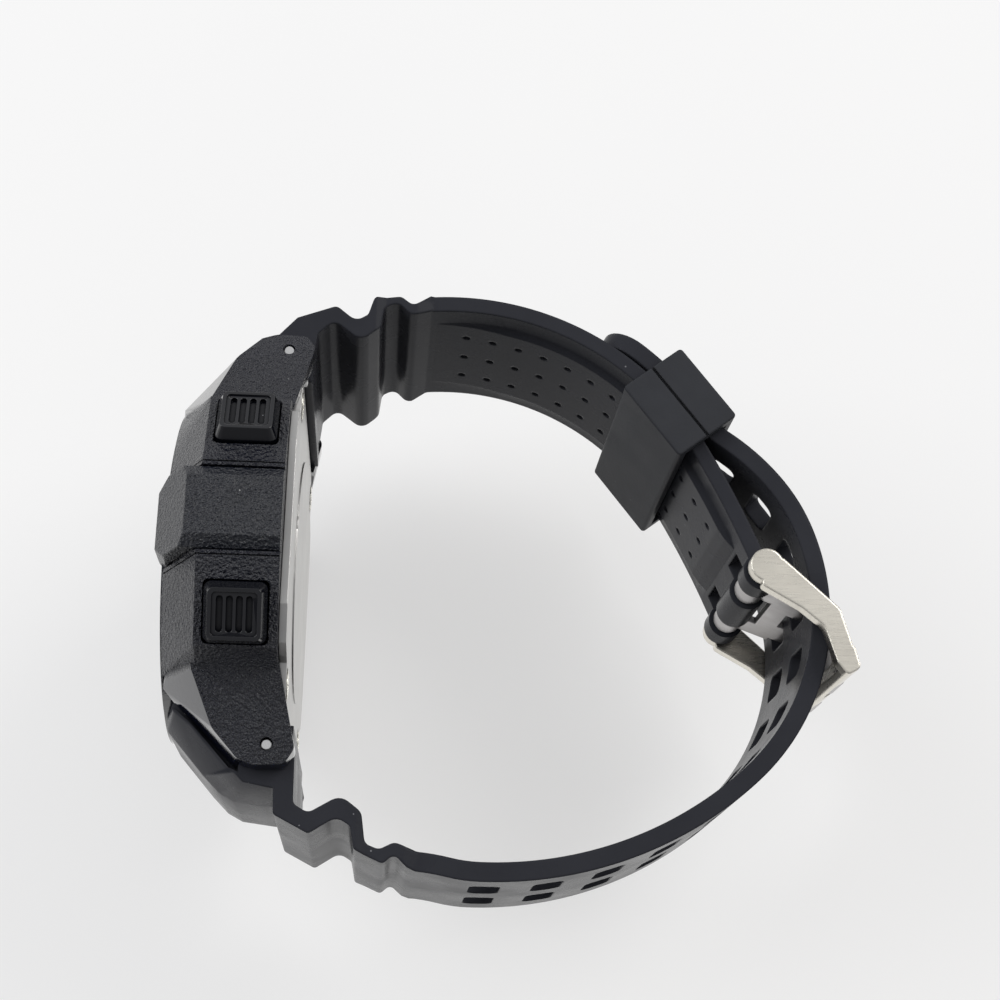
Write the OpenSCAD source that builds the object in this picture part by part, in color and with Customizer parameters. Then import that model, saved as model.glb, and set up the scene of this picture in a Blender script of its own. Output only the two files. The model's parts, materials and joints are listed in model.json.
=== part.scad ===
// Digital sports watch lying on its nine o'clock side with the strap buckled into a loop.
// X runs from the display to the wrist, Y towards twelve o'clock and Z towards three o'clock.
// Both straps are drawn as a path of arcs in the XY plane and extruded across the wrist.

/* [Case] */
// Distance between the two spring bar axes
pin_span = 39.4; // [38.8:0.1:40]
// Distance across the four sloping sides that carry the pushers
side_span = 46.2; // [45.4:0.1:46.6]
// Overall width from wing face to wing face
wing_span = 48; // [47.6:0.1:48.4]
// Depth of the resin case from its front face to its back face
case_depth = 11.2; // [11:0.1:11.4]
// Radius of the cavity that holds the module
cavity_r = 15; // [14.9:0.05:15.2]
// Radius of the crystal
crystal_r = 13.7; // [13.4:0.1:13.8]

/* [Pushers] */
// Angle of the pusher axes away from three and nine o'clock
pusher_angle = 23.5; // [22.5:0.5:24.5]
// Length of a pusher cap along the side of the case
cap_l = 5.6; // [5.4:0.1:6]
// Width of a pusher cap from front to back
cap_w = 5.7; // [5.2:0.1:5.9]
// Travel of a pusher
press = 1; // [0.6:0.1:1]

/* [Strap] */
// Width of the straps past the ribs
strap_w = 21.4; // [21:0.1:21.6]
// How far the straps widen on each side between the lugs
root_flare = 1.4; // [1.2:0.1:1.5]
// Thickness of the buckle strap
upper_t = 1.6; // [1.5:0.05:1.7]
// Thickness of the hole strap
lower_t = 1.8; // [1.7:0.05:1.85]
// Distance from one strap slot to the next
slot_pitch = 5.95; // [5.9:0.05:6]
// Size of a strap slot across the strap
slot_w = 5.4; // [5.2:0.1:5.8]
// Size of a strap slot along the strap
slot_l = 3; // [2.8:0.1:3.2]

/* [Buckle and keeper] */
// Thickness of the side arms of the buckle frame
arm_t = 1.4; // [1.2:0.1:1.5]
// Width of one prong
prong_w = 4.6; // [4.2:0.1:4.8]
// Width of one curl of the prongs round the buckle bar
curl_w = 3.6; // [3.2:0.1:3.8]
// Length of the keeper along the strap
keeper_l = 9.1; // [8.6:0.1:9.3]
// Wall thickness of the keeper
keeper_t = 1.2; // [1:0.05:1.3]

/* [Hidden] */
$fn = 64;

// Running clearance of a pin or stem in its bore, on the radius
fit = 0.07;
// Gap between pieces that rest on each other
touch = 0.02;
// Gap between mating case pieces
seam = 0.15;
// Gap between rubber pieces that lie against each other
rub = 0.3;
// Play of the prongs in the slots of the buckle strap
slot_gap = 0.25;

// Case planes along X
back_x = 0.8;
front_x = back_x - case_depth;
ridge_x = front_x + 3.7;
wing_x = front_x - 0.6;
ledge_x = front_x + 1.2;
cavity_x = ledge_x + 0.8;
pin_y = pin_span / 2;
side_r = side_span / 2;
wing_z = wing_span / 2;
// Half length of the raised middle segment and of its flat face
wing_y = 3.9;
wing_flat_y = 2.8;
wing_t = 1.4;
wing_drop = 0.85;
// Outer radius of the case front, which the front facets run up to
front_r = 16.8;
// Thin line round each sloping side, next to the wing
line_y = 4.45;
line_w = 0.14;
line_deep = 0.25;
// Ends of the sloping sides, of the case between the lugs and of the lugs
side_y = 12.1;
side_drop = 3.5;
step_y = 13.15;
end_y = pin_y - 2.7;
// Width of the straps between the lugs, and the inner face of the lugs
root_w = strap_w + 2 * root_flare;
lug_z = root_w / 2 + 0.2;
// Lug face over the spring bar and at its upper end
lug_face_z = 14.5;
lug_top_z = 16.9;
// Inner edge of the front facet of the lugs, which reaches round the front of the straps
facet_z = 11;
// Front edge of the space between the lugs, and the front edge of the lugs at facet_z, from the spring bar
room_edge = [[-5.6, -2.7], [-2.7, 1.4], [-2.2, 4]];
facet_edge = [[-10.1, -5.6], [-9, -4.3], [-6.8, -2.4], [-3.2, 1.5]];

// Spring bars
bar_r = 0.85;
tip_r = 0.52;
tip_end_z = lug_face_z - 0.3;
tube_bore_z = 2;
tip_root_z = 8;
tube_wall = 0.25;

// Pusher planes, measured outwards from the axis of the watch
pusher_x = -3;
cap_top_r = side_r + 1.5;
cap_base_r = side_r - 0.6;
pocket_r = cap_base_r - press - 0.1;
spring_seat_r = pocket_r - 2.2;
gasket_seat_r = spring_seat_r - 0.7;
clip_r = cavity_r - 0.15;
stem_r = 0.8;
cap_bevel = 0.45;
cap_rim = 0.35;
cap_grooves = 4;
groove_pitch = 0.89;
groove_w = 0.6;

// Module stack along X
mask_x = ledge_x + 0.3;
lcd_x = mask_x + 0.4;
lcd_t = 1.4;
light_x = lcd_x + lcd_t + 0.05;
light_t = 0.5;
board_x = light_x + light_t + 1.2;
board_t = 0.7;
frame_r = cavity_r - 0.4;
board_r = 12.3;
stem_end_r = board_r + press + 0.05;
frame_end_x = -1.3;
cell_r = 10;
cell_t = 2.5;
cell_x = frame_end_x - cell_t - 0.1;
post_y = 11.4;
plate_t = 0.7;
plate_x = back_x + 0.05;
plate_end_x = plate_x + plate_t;
plate_end_y = end_y - 0.5;
plate_raise = 0.15;
plate_disc_r = 12.4;
// One quarter of the outline of the back, in Y and Z
plate_edge = [[plate_end_y, 13.6], [15.4, 15.1], [12.4, 15.8], [11.3, 19], [8, 20.3]];
screw_y = 14;
screw_z = 13.7;
screw_r = 1.3;
screw_seat_x = plate_x + 0.2;

// Path of the buckle strap: start station, then two arcs as length and turn
upper_start = [14, pin_y + 7.4, 6];
upper_arc_1 = [32, -66];
upper_arc_2 = [15.2, -9];
upper_path = concat(
    [upper_start],
    arc_from(upper_start, upper_arc_1, 44),
    arc_from(arc_end(upper_start, upper_arc_1), upper_arc_2, 12)
);
buckle_pin = upper_path[len(upper_path) - 1];
// Centre of the first arc, about which the keeper slides
keeper_r = -upper_arc_1[0] / (upper_arc_1[1] * PI / 180);
keeper_c = [
    upper_start[0] + keeper_r * sin(upper_start[2]),
    upper_start[1] - keeper_r * cos(upper_start[2])
];
keeper_a = 37.7;
upper_run = run_lengths(upper_path);

// Path of the hole strap: stations joined by pairs of arcs, then an arc over the buckle strap
stack = (upper_t + lower_t) / 2 + rub;
tail_in_a = 33.4;
tail_out_a = 59.5;
tail_start = tail_station(tail_in_a);
// Bend that turns the hole strap away from the buckle strap where it leaves the keeper
tail_bend = [3.3, -23];
tail_leave = arc_point(tail_start, tail_bend, -1);
lower_start = [14, -pin_y - 9.8, -4];
lower_low = [20, -pin_y - 10.6, -1];
lower_far = [52, 3.6, 108.6];
lower_path = concat(
    [lower_start],
    biarc(lower_start, lower_low, 4),
    biarc(lower_low, lower_far, 32),
    biarc(lower_far, tail_leave, 8),
    arc_from(tail_leave, tail_bend, 6),
    [for (i = [1 : 20]) tail_station(tail_in_a + (tail_out_a - tail_in_a) * i / 20)]
);
lower_run = run_lengths(lower_path);
slot_first = 6.8;
slot_count = 13;
slot_z = 4.4;
slot_round = 0.9;

// Raised panel inside the buckle strap: its run, the length over which it rises, height and width
panel_from = 0.5;
panel_to = 43.5;
panel_rise = 8;
panel_t = 0.6;
panel_z = 7.6;
panel_bevel = 0.5;
// Rows of pits in the panel
pit_first = 4;
pit_pitch = 2.96;
pit_rows = 13;
pit_z = 4.85;
pit_r = 0.4;
pit_deep = 0.7;

// Ribbed roots of the straps, as corners with a fillet radius, measured from the spring bar
upper_outer = [
    [-2.3, 1.4, 0.4], [0.5, 4.6, 0.5], [4.4, 6.1, 0.7], [6.4, 4.5, 1.1],
    [7.6, 5.3, 0.6], [8.2, 7.3, 0.6], [10.9, 7.7, 0.8], [12.2, 6.7, 0.8]
];
upper_inner = [
    [12.1, 5.6, 1], [10.6, 7.1, 1], [9.2, 6.4, 0.8], [8.9, 4, 0.9],
    [7, 2.4, 1.2], [4.2, 4.5, 1], [2.6, 2.9, 0.6], [2.3, 0, 0.4]
];
lower_outer = [
    [0.7, -3.4, 0.3], [0.8, -6, 0.4], [4.1, -7.7, 0.5], [6.6, -6.1, 1.2],
    [7.9, -6.9, 0.6], [8.3, -9, 0.4], [11, -10.2, 0.5], [12, -9.3, 0.6], [13.2, -10.4, 0.4]
];
lower_inner = [
    [12, -8.2, 1], [10.6, -8.9, 0.9], [9.3, -8.4, 0.8], [8.9, -5.6, 1],
    [6.9, -4.1, 1.4], [4, -5.8, 0.9], [2.6, -5, 0.7], [2.5, 0, 0.4]
];
// Hood of the hole strap at its side faces and at its ridge, measured from the spring bar
hood_side_z = lug_z - 0.2;
hood_ridge_z = 6;
hood_side = [
    [-8.9, 4.4], [-8.8, 3.8], [-6.7, 2.3], [-4.8, -0.1], [-3, -2.2], [-2.1, -3.1], [0.6, -3.6],
    [2.3, -3.4], [2.3, 2.2]
];
hood_ridge = [
    [-9.7, 4.8], [-10.2, 3.4], [-9.9, 2.5], [-8, 0.4], [-6.3, -1.6], [-4.7, -3.2], [-3.2, -4],
    [-0.1, -4.4], [0.9, -4.3], [2.3, -3.6], [2.3, 2.2]
];

// Buckle
arm_z = strap_w / 2 + 0.75;
arm_outer_z = arm_z + arm_t;
arm_pts = [
    [1.4, 0.9, 0.5], [7, -4.2, 1.2], [8.7, -10.1, 0.5], [7.4, -10.8, 0.4], [6.5, -9.6, 0.6],
    [5.4, -6, 1.6], [3.2, -4.2, 1.6], [-0.7, -2, 0.5], [0.2, -0.2, 0.3]
];
bar_pts = [[7.6, -7.6, 0.2], [8.25, -8, 0.3], [8.75, -10, 0.5], [7.4, -10.8, 0.4], [6.9, -9.9, 0.3]];
knuckle_r = 1.5;
prong_bore_r = 0.85;
prong_t = 0.8;
prong_knee = [7, -2.75];
prong_tip = [8.3, -10.2];
boss_r = 1.9;
curl_z = 5.65;
prong_slot_l = 3.2;
plate_from = 2.3;
plate_to = 4.3;

// Keeper window, across the stack of both straps
keeper_in = keeper_r - upper_t / 2 - panel_t - 0.6;
keeper_out = keeper_r + upper_t / 2 + rub + lower_t + 0.25;
keeper_z = strap_w / 2 + 0.4;

// Middle and lowest face of the whole watch, which the origin sits under
far_x = buckle_pin[0] + max([for (p = concat(rounded(arm_pts), rounded(bar_pts))) p[0]]);
top_y = max([for (p = side(upper_path, upper_t / 2)) p[1]]);
low_y = min([for (p = side(lower_path, -lower_t / 2)) p[1]]);
origin = [(wing_x + far_x) / 2, (top_y + low_y) / 2, -wing_z];

// Points along an arc that starts at a station [x, y, heading], given its length and turn
function arc_point(s, arc, f) =
    let (r = arc[0] / (arc[1] * PI / 180), a = arc[1] * f)
    [s[0] + r * (sin(s[2] + a) - sin(s[2])), s[1] - r * (cos(s[2] + a) - cos(s[2])), s[2] + a];
function arc_from(s, arc, n) = [for (i = [1 : n]) arc_point(s, arc, i / n)];
function arc_end(s, arc) = arc_point(s, arc, 1);

// Turn between two headings, between -180 and 180 degrees
function turn_to(a, b) = let (d = (b - a) % 360) d > 180 ? d - 360 : d < -180 ? d + 360 : d;

// The arc that leaves a station along its heading and reaches a point where it heads h
function arc_to(s, p, h) =
    let (a = turn_to(s[2], h), c = norm([p[0] - s[0], p[1] - s[1]]))
    [c / (2 * sin(a / 2)) * a * PI / 180, a];

// Two tangent arcs with equal tangents that join two stations
function biarc(s, e, n) =
    let (
        v = [e[0] - s[0], e[1] - s[1]],
        t1 = [cos(s[2]), sin(s[2])],
        t2 = [cos(e[2]), sin(e[2])],
        k = 1 - t1 * t2,
        b = v * (t1 + t2),
        d = (sqrt(b * b + 2 * k * (v * v)) - b) / (2 * k),
        m = ([s[0], s[1]] + [e[0], e[1]] + d * (t1 - t2)) / 2,
        w = v - d * (t1 + t2),
        h = atan2(w[1], w[0]),
        first = arc_to(s, m, h),
        mid = arc_end(s, first)
    )
    concat(arc_from(s, first, n), arc_from(mid, arc_to(mid, e, e[2]), n));

// Station of the hole strap over the buckle strap, at an angle about the keeper centre
function tail_station(a) =
    let (r = keeper_r + stack)
    [keeper_c[0] + r * cos(a), keeper_c[1] + r * sin(a), a + 90];

// Edge of a path at a distance to its left
function side(path, d) = [for (s = path) [s[0] - d * sin(s[2]), s[1] + d * cos(s[2])]];
function reversed(v) = [for (i = [len(v) - 1 : -1 : 0]) v[i]];

// Length run at every point of a path, and the station at a given run
function run_lengths(p) = [
    for (i = 0, s = 0; i < len(p); s = s + (i + 1 < len(p) ? gap_after(p, i) : 0), i = i + 1) s
];
function gap_after(p, i) = norm([p[i + 1][0] - p[i][0], p[i + 1][1] - p[i][1]]);
function station(path, runs, s) =
    let (
        i = max([for (k = [0 : len(runs) - 2]) if (runs[k] <= s) k]),
        f = (s - runs[i]) / (runs[i + 1] - runs[i])
    )
    path[i] * (1 - f) + path[i + 1] * f;

// A corner list [x, y, radius] as points, each corner rounded by an arc
function rounded(c, closed = true) = [
    for (i = [0 : len(c) - 1])
        if (!closed && (i == 0 || i == len(c) - 1)) [c[i][0], c[i][1]]
        else each corner_arc(c[(i + len(c) - 1) % len(c)], c[i], c[(i + 1) % len(c)], 5)
];
function corner_arc(a, b, c, n) =
    let (
        u = [a[0] - b[0], a[1] - b[1]] / norm([a[0] - b[0], a[1] - b[1]]),
        w = [c[0] - b[0], c[1] - b[1]] / norm([c[0] - b[0], c[1] - b[1]]),
        half = acos(u * w) / 2,
        m = (u + w) / norm(u + w),
        o = [b[0], b[1]] + m * b[2] / sin(half),
        p = [b[0], b[1]] + u * b[2] / tan(half) - o,
        q = [b[0], b[1]] + w * b[2] / tan(half) - o,
        a0 = atan2(p[1], p[0]),
        sweep = turn_to(a0, atan2(q[1], q[0]))
    )
    [for (i = [0 : n]) o + b[2] * [cos(a0 + sweep * i / n), sin(a0 + sweep * i / n)]];
function shifted(pts, x, y) = [for (p = pts) len(p) > 2 ? [p[0] + x, p[1] + y, p[2]] : [p[0] + x, p[1] + y]];
function block(w, h, r) = rounded([[-w, -h, r], [w, -h, r], [w, h, r], [-w, h, r]]);

// Puts the watch on the ground with its origin under the middle of its box
module placed() {
    translate(-origin) children();
}

// Extrudes a shape drawn in Y and Z between two planes across X
module along_x(x0, x1) {
    translate([x0, 0, 0]) rotate([90, 0, 90]) linear_extrude(x1 - x0) children();
}

// Extrudes a shape drawn in X and Y between two planes across Z
module along_z(z0, z1) {
    translate([0, 0, z0]) linear_extrude(z1 - z0) children();
}

// A disc across the X axis
module disc(r, x0, x1, y = 0, z = 0) {
    translate([x0, y, z]) rotate([0, 90, 0]) cylinder(r = r, h = x1 - x0);
}

// A rod along Z
module rod(r, z0, z1, x = 0, y = 0) {
    translate([x, y, z0]) cylinder(r = r, h = z1 - z0);
}

// Helical spring along Z, from its foot up
module coil(r, wire, height, turns, per_turn = 10, sides = 6) {
    rings = turns * per_turn;
    loft([
        for (i = [0 : rings])
            let (a = 360 * i / per_turn, z = wire + (height - 2 * wire) * i / rings)
            [
                for (j = [0 : sides - 1])
                    let (b = 360 * j / sides)
                    [(r + wire * cos(b)) * cos(a), (r + wire * cos(b)) * sin(a), z + wire * sin(b)]
            ]
    ]);
}

// Solid through a row of rings, each a list of as many points
module loft(rings) {
    sides = len(rings[0]);
    last = len(rings) - 1;
    faces = concat(
        [[for (j = [0 : sides - 1]) j]],
        [[for (j = [sides - 1 : -1 : 0]) last * sides + j]],
        [
            for (i = [0 : last - 1])
                for (j = [0 : sides - 1])
                    let (k = (j + 1) % sides)
                    [i * sides + j, (i + 1) * sides + j, (i + 1) * sides + k, i * sides + k]
        ]
    );
    polyhedron([for (ring = rings) each ring], faces, 4);
}

// Case body

function side_z(y) = (side_r - y * sin(pusher_angle)) / cos(pusher_angle);

// Outline of the segmented case in Y and Z, drawn in by the same amount all round
module case_plan(inset) {
    z0 = side_z(line_y) - inset;
    z1 = side_z(side_y) - inset;
    q = [[line_y, z0], [side_y, z1], [step_y - inset, z1 - side_drop]];
    polygon(concat(
        q,
        reversed([for (p = q) [p[0], -p[1]]]),
        [for (p = q) [-p[0], -p[1]]],
        reversed([for (p = q) [-p[0], p[1]]])
    ));
}

// Faceted block that the sloping sides are cut from: straight at the back, drawn in to a circle in front
module case_block(inset, back) {
    hull() {
        along_x(ridge_x + inset / 2, back) case_plan(inset);
        intersection() {
            disc(front_r - inset, front_x + inset, front_x + inset + 0.1);
            along_x(front_x, front_x + 1) square([2 * step_y - 0.6, 2 * front_r], center = true);
        }
    }
}

// Thin line cut into the sloping sides on both sides of each wing
module side_lines() {
    difference() {
        for (s = [-1, 1])
            translate([front_x - 1, s * line_y - line_w / 2, -wing_z]) cube([case_depth + 2, line_w, 2 * wing_z]);
        case_block(line_deep, back_x + 1);
    }
}

// One lug: a flat outer face that slopes down over the spring bar, and a wide front facet
module lug() {
    back = [[1.8, -3, 0.3], [back_x, -7.5, 0.1]];
    root = concat([
        [-9.6, -7.5, 0.1], [-9.1, -6.4, 0.3], [-5.7, -2.7, 0.3],
        [-2.6, 1.4, 0.6], [-1.2, 2, 0.8], [1.7, 1.9, 0.9], [2.65, 0.5, 0.8]
    ], back);
    face = concat([
        [-7.2, -7.5, 0.1], [-6.8, -6.4, 0.3], [-3, -0.1, 0.5],
        [-2.3, 1, 0.4], [-1.4, 1.25, 0.6], [1.6, 1.2, 0.9], [2.5, 0.1, 0.8]
    ], back);
    difference() {
        lug_block(root, face);
        along_z(0, lug_z) polygon(concat(shifted(room_edge, 0, pin_y), [[4, pin_y + 4], [4, step_y], [-5.6, step_y]]));
    }
}

// Lug before the space between the lugs is taken out of it
module lug_block(root, face) {
    intersection() {
        hull() {
            along_z(facet_z, facet_z + 0.1)
                polygon(concat([[-10.1, step_y - 1]], shifted(facet_edge, 0, pin_y), [[0, step_y - 1]]));
            along_z(lug_z, lug_z + 0.5) polygon(rounded(shifted(root, 0, pin_y)));
            along_z(lug_face_z, lug_top_z) polygon(rounded(shifted(face, 0, pin_y)));
        }
        along_x(front_x - 1, back_x + 4) polygon([
            [step_y - 1.5, 0], [step_y - 1.5, lug_top_z], [pin_y, lug_face_z], [pin_y + 3, lug_face_z - 1],
            [pin_y + 3, 0]
        ]);
    }
}

module pusher_place(turn) {
    translate([pusher_x, 0, 0]) rotate([turn, 0, 0]) children();
}

// Turn of each pusher axis about X, by the hour it sits at
function pusher_turn(hour) =
    hour == 2 ? -pusher_angle : hour == 4 ? pusher_angle : hour == 8 ? 180 - pusher_angle : pusher_angle - 180;
HOURS = [2, 4, 8, 10];

// Pocket, spring bore, gasket bore and stem bore of one pusher
module pusher_cut() {
    along_z(pocket_r, side_r + 3) polygon(block(cap_w / 2 + seam, cap_l / 2 + seam, 0.5));
    rod(1.95, spring_seat_r, pocket_r + 0.1);
    rod(1.55, gasket_seat_r, spring_seat_r + 0.1);
    rod(stem_r + fit, cavity_r - 1, gasket_seat_r + 0.1);
}

module case_body() {
    color("#1c1d20") placed() difference() {
        union() {
            case_block(0, back_x);
            disc(front_r, front_x, front_x + 1);
            for (s = [-1, 1]) {
                mirror([0, s < 0 ? 1 : 0, 0]) along_z(-lug_z - 0.5, lug_z + 0.5) polygon([
                    [back_x, step_y - 2], [-9.4, step_y - 2], [-9.4, step_y - 1.4],
                    [-6, end_y], [back_x, end_y]
                ]);
                for (t = [0, 1]) mirror([0, s < 0 ? 1 : 0, 0]) mirror([0, 0, t]) lug();
            }
        }
        disc(cavity_r, cavity_x, back_x + 2);
        disc(crystal_r - 0.7, ledge_x - 0.5, cavity_x + 0.5);
        disc(crystal_r + 0.4, front_x - 1, ledge_x);
        disc(ring_out_r + seam, front_x - 1, ring_seat_x + touch);
        side_lines();
        along_x(back_x, back_x + 4) offset(delta = seam) plate_plan();
        for (h = HOURS) pusher_place(pusher_turn(h)) pusher_cut();
        for (s = [-1, 1]) {
            for (t = [-1, 1]) disc(0.6, back_x - 5, back_x + 1, s * screw_y, t * screw_z);
            rod(tip_r + fit, -20, 20, 0, s * pin_y);
            mirror([0, 0, s < 0 ? 1 : 0]) wing_bed();
        }
        difference() {
            disc(cavity_r + 0.95, back_x - 0.6, back_x + 1);
            disc(cavity_r + 0.25, back_x - 1, back_x + 2);
        }
    }
}

// Bezel: a ring round the crystal with a wing wrapped down each side of the case

ring_x = front_x - 0.2;
ring_seat_x = front_x + 0.5;
ring_out_r = 16;

// Section of a wing in X and Z, thickened by a clearance
module wing_section(gap) {
    polygon([
        [wing_x - 3, crystal_r + 0.5], [wing_x - 3, 30], [back_x + 5, 30],
        [back_x + 5, wing_z - wing_t - gap],
        [ridge_x - 0.6, wing_z - wing_t - gap], [front_x + 0.7 + gap, 17.6 - gap],
        [front_x + 0.7 + gap, crystal_r + 0.5]
    ]);
}

// Space that a wing takes out of the case
module wing_bed() {
    rotate([90, 0, 0]) linear_extrude(2 * (wing_y + seam), center = true) wing_section(seam);
}

module wing() {
    intersection() {
        rotate([90, 0, 0]) linear_extrude(2 * wing_y, center = true) polygon([
            [front_x + 0.7, crystal_r + 0.6], [wing_x, crystal_r + 0.6], [wing_x, 18.4],
            [wing_x + 3.1, wing_z], [back_x, wing_z], [back_x, wing_z - wing_t],
            [ridge_x - 0.6, wing_z - wing_t], [front_x + 0.7, 17.6]
        ]);
        along_x(wing_x - 1, back_x + 1) polygon([
            [-wing_y, 0], [-wing_y, wing_z - wing_drop], [-wing_flat_y, wing_z], [wing_flat_y, wing_z],
            [wing_y, wing_z - wing_drop], [wing_y, 0]
        ]);
        along_z(0, 30) polygon([
            [back_x + 1, -wing_y], [wing_x + 1, -wing_y], [wing_x, -wing_flat_y], [wing_x, wing_flat_y],
            [wing_x + 1, wing_y], [back_x + 1, wing_y]
        ]);
    }
}

module bezel() {
    color("#202124") placed() difference() {
        union() {
            disc(ring_out_r, ring_x, ring_seat_x);
            wing();
            mirror([0, 0, 1]) wing();
        }
        disc(crystal_r + 0.2, wing_x - 1, front_x + 2);
    }
}

// Crystal and display

module crystal() {
    color("#c9d3d8", 0.35) placed() {
        disc(crystal_r, ring_x + 0.1, ledge_x - 0.15);
        translate([ring_x - 0.15, 0, 0]) rotate([0, 90, 0])
            cylinder(r1 = crystal_r - 0.4, r2 = crystal_r, h = 0.25);
    }
}

module crystal_gasket() {
    color("#3a3a3a") placed() difference() {
        disc(crystal_r + 0.38, ring_seat_x + 0.1, ledge_x);
        disc(crystal_r + 0.02, front_x - 1, ledge_x - 0.15);
        disc(crystal_r - 0.65, front_x - 1, ledge_x + 1);
    }
}

module dial_mask() {
    color("#17181a") placed() difference() {
        disc(crystal_r - 0.75, mask_x, mask_x + 0.3);
        along_x(mask_x - 1, mask_x + 1) polygon(block(5.6, 9.4, 1.2));
    }
}

module lcd_panel() {
    color("#a9ad9a") placed() along_x(lcd_x, lcd_x + lcd_t) square([15, 21], center = true);
}

module backlight_panel() {
    color("#d9e2dd") placed() along_x(light_x, light_x + light_t) square([11, 20], center = true);
}

connector_y = 6.6;

module lcd_connectors() {
    color("#b06a7c") placed() for (s = [-1, 1]) translate([0, s * connector_y, 0])
        along_x(lcd_x + lcd_t, board_x) square([1.4, 18], center = true);
}

// Module

module pusher_notch() {
    translate([-2.4, -2.4, board_r - 0.5]) cube([4.8, 4.8, 6]);
}

module module_frame() {
    color("#e8e6df") placed() difference() {
        union() {
            disc(frame_r, cavity_x + 0.1, board_x + 0.4);
            difference() {
                disc(frame_r, board_x, frame_end_x);
                disc(board_r + 0.2, board_x, frame_end_x + 1);
            }
        }
        along_x(cavity_x - 1, light_x + light_t + 0.05) square([15.2, 21.2], center = true);
        along_x(light_x, board_x + 1) square([15.2, 18.4], center = true);
        disc(board_r + 0.1, board_x, board_x + 2);
        for (h = HOURS) pusher_place(pusher_turn(h)) pusher_notch();
    }
}

module circuit_board() {
    color("#1d5b34") placed() difference() {
        disc(board_r, board_x + 0.02, board_x + board_t);
        for (s = [-1, 1]) disc(0.5, board_x - 1, board_x + 2, s * post_y, 0);
    }
}

module ic_chip() {
    color("#141414") placed() disc(2.8, board_x + board_t + touch, board_x + board_t + 0.5, 3.5, 2);
}

quartz_r = 0.7;

module quartz_crystal() {
    color("#c8c8c8") placed() translate([board_x + board_t + touch + quartz_r, 0, 0]) rotate([-60, 0, 0])
        translate([0, -3, 11.1]) rotate([-90, 0, 0]) cylinder(r = quartz_r, h = 6);
}

module battery() {
    color("#cfcfcf") placed() {
        disc(cell_r - 0.6, cell_x, cell_x + 0.4);
        disc(cell_r, cell_x + 0.4, cell_x + cell_t);
    }
}

clip_x = cell_x + cell_t;

module battery_clip() {
    color("#b9b6ac") placed() difference() {
        union() {
            along_x(clip_x, clip_x + 0.25) square([2 * post_y + 1.4, 4], center = true);
            for (s = [-1, 1]) disc(0.9, board_x + board_t + touch, clip_x + 0.2, s * post_y, 0);
        }
        for (s = [-1, 1]) disc(0.5, board_x - 1, clip_x + 1, s * post_y, 0);
    }
}

module module_screws() {
    color("#d8d6cf") placed() for (s = [-1, 1]) difference() {
        union() {
            disc(0.45, board_x + 0.1, clip_x + 0.3, s * post_y, 0);
            disc(0.95, clip_x + 0.25, clip_x + 0.75, s * post_y, 0);
        }
        translate([clip_x + 0.55, s * post_y - 1.5, -0.12]) cube([1, 3, 0.24]);
    }
}

module contact_springs() {
    color("#d2b35a") placed() for (h = HOURS) pusher_place(pusher_turn(h))
        translate([board_x + board_t + touch - pusher_x, -1.2, board_r - 0.25]) cube([2.9, 2.4, 0.2]);
}

buzzer_y = 7.9;
buzzer_t = 0.25;

module buzzer_spring() {
    color("#d9d9d9") placed() translate([board_x + board_t + touch, -buzzer_y, buzzer_y])
        rotate([0, 90, 0]) coil(0.6, 0.15, plate_x - buzzer_t - board_x - board_t - 3 * touch, 6, 8, 5);
}

module buzzer_disc() {
    color("#c9a44a") placed() disc(12.6, plate_x - buzzer_t - touch, plate_x - touch);
}

// Back

module back_gasket() {
    color("#2b2b2b") placed() difference() {
        disc(cavity_r + 0.9, back_x - 0.55, back_x + touch);
        disc(cavity_r + 0.3, back_x - 1, back_x + 1);
    }
}

module case_back() {
    color("#c9cbcd") placed() difference() {
        union() {
            along_x(plate_x, plate_end_x) plate_plan();
            disc(plate_disc_r, plate_end_x - 0.2, plate_end_x + plate_raise);
        }
        for (s = [-1, 1]) for (t = [-1, 1]) {
            disc(0.9, plate_x - 1, plate_x + 3, s * screw_y, t * screw_z);
            disc(screw_r + 0.35, screw_seat_x, plate_x + 3, s * screw_y, t * screw_z);
        }
    }
}

// Outline of the back in Y and Z
module plate_plan() {
    polygon([for (q = [[1, 1], [-1, 1], [-1, -1], [1, -1]]) each plate_corner(q)]);
}
function plate_corner(q) =
    let (pts = [for (p = plate_edge) [q[0] * p[0], q[1] * p[1]]])
    q[0] * q[1] > 0 ? pts : reversed(pts);

module case_back_screws() {
    color("#dcdcda") placed() for (s = [-1, 1]) for (t = [-1, 1]) translate([0, s * screw_y, t * screw_z])
        difference() {
            union() {
                disc(0.55, back_x - 4.2, screw_seat_x + 0.1);
                disc(screw_r, screw_seat_x + touch, plate_end_x + 0.1);
            }
            for (a = [0, 90]) rotate([a, 0, 0])
                translate([plate_end_x - 0.2, -0.9, -0.17]) cube([1, 1.8, 0.34]);
        }
}

// Pushers

module pusher_gaskets() {
    color("#303030") placed() for (h = HOURS) pusher_place(pusher_turn(h)) difference() {
        rod(1.5, gasket_seat_r + touch, spring_seat_r - touch);
        rod(stem_r + fit, gasket_seat_r - 1, spring_seat_r + 1);
    }
}

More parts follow.
